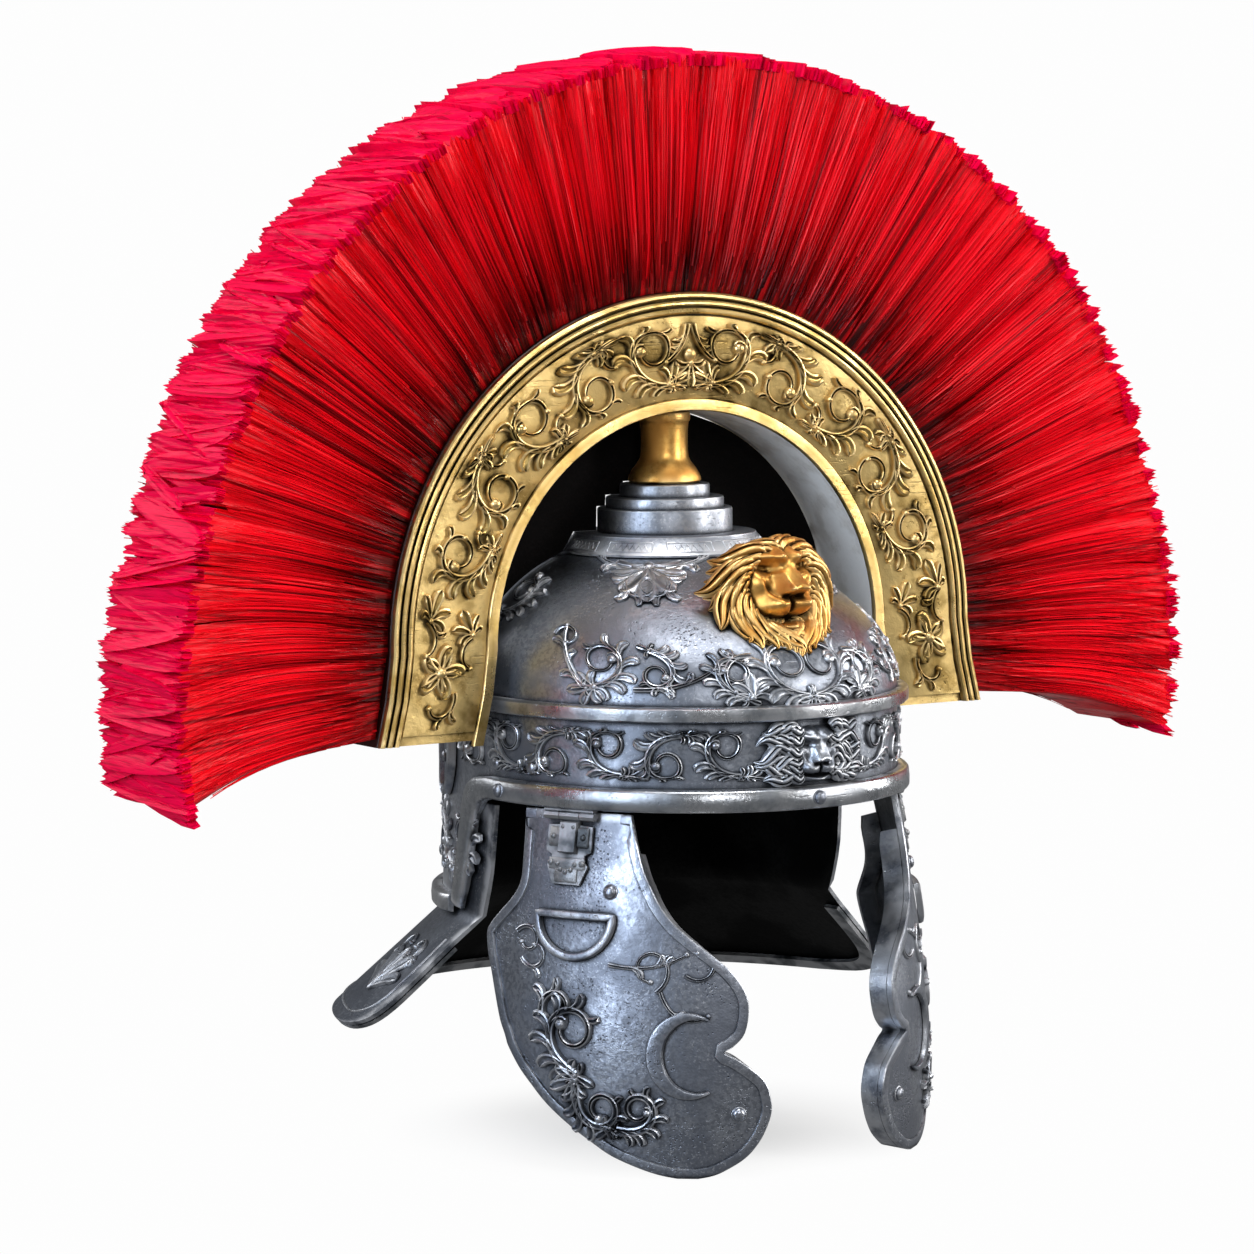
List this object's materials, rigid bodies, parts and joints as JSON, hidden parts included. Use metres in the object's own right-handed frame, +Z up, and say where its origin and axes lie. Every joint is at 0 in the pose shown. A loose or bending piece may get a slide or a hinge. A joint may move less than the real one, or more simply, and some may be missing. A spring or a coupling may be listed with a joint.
{
  "type": "roman_legionary_helmet_with_transverse_crest",
  "caption": "Roman legionary helmet with a red transverse crest in a gilt arched box, embossed bowl, lion and face masks, hinged cheek guards and flared neck guard",
  "frame": {"origin": "on the axis of the crest post, level with the lower edge of the brow ring, where the helmet sits on a head", "axes": "+X towards the wearer's left, along the crest, +Y towards the back, over the neck guard, +Z up, towards the crown"},
  "size_m": [0.582, 0.322, 0.5261],
  "materials": {
    "steel": "burnished pewter-grey embossed steel, dark in the recesses",
    "dark_steel": "darkened forged steel fittings with rubbed edges",
    "brass": "antiqued brass, bright on raised beads and black in the grooves",
    "gold": "warm gilt casting with dark patina in the hollows",
    "wood": "dark mahogany-stained hair board",
    "leather": "blackened leather sheet",
    "hair": "dyed scarlet horsehair in pleated bundles, crimson at the cut tips"
  },
  "bodies": {
    "helmet": {"skull_bowl": "steel", "brow_ring": "steel", "upper_ring": "steel", "neck_ledge": "steel", "neck_guard": "steel", "neck_edging": "dark_steel", "crown_steps": "steel", "crest_post": "gold", "crest_box": "steel", "crest_plate_front": "brass", "crest_plate_back": "brass", "outer_moulding_front": "brass", "outer_moulding_back": "brass", "inner_moulding_front": "brass", "inner_moulding_back": "brass", "crest_back_panel": "leather", "hair_board": "wood", "plume_1": "hair", "plume_2": "hair", "plume_3": "hair", "plume_4": "hair", "plume_5": "hair", "plume_6": "hair", "plume_7": "hair", "plume_8": "hair", "plume_9": "hair", "lion_mask": "gold", "brow_mask": "steel", "lug_right": "steel", "lug_left": "steel", "hinge_fixed_right": "dark_steel", "hinge_fixed_left": "dark_steel", "band_rivet_fore_right": "brass", "band_rivet_rear_right": "brass", "band_rivet_fore_left": "brass", "band_rivet_rear_left": "brass", "rim_rivet_front": "brass", "rim_rivet_right": "brass", "rim_rivet_left": "brass", "nape_rivet_1_right": "dark_steel", "nape_rivet_2_right": "dark_steel", "nape_rivet_3_right": "dark_steel", "nape_rivet_1_left": "dark_steel", "nape_rivet_2_left": "dark_steel", "nape_rivet_3_left": "dark_steel"},
    "cheek_right": {"hinge_leaf_right": "dark_steel", "cheek_plate_right": "steel", "cheek_edging_right": "steel", "strap_loop_right": "dark_steel", "crescent_right": "steel", "cheek_rivet_upper_right": "brass", "cheek_rivet_lower_right": "brass"},
    "cheek_left": {"hinge_leaf_left": "dark_steel", "cheek_plate_left": "steel", "cheek_edging_left": "steel", "strap_loop_left": "dark_steel", "crescent_left": "steel", "cheek_rivet_upper_left": "brass", "cheek_rivet_lower_left": "brass"}
  },
  "joints": [
    {"name": "cheek_hinge_right", "type": "hinge", "parent": "helmet", "child": "cheek_right", "pos_m": [-0.09443, -0.06148, -0.0036], "axis": [-0.409, 0.9126, 0], "range_deg": [-8, 80]},
    {"name": "cheek_hinge_left", "type": "hinge", "parent": "helmet", "child": "cheek_left", "pos_m": [0.09443, -0.06148, -0.0036], "axis": [-0.409, -0.9126, 0], "range_deg": [-8, 80]}
  ]
}
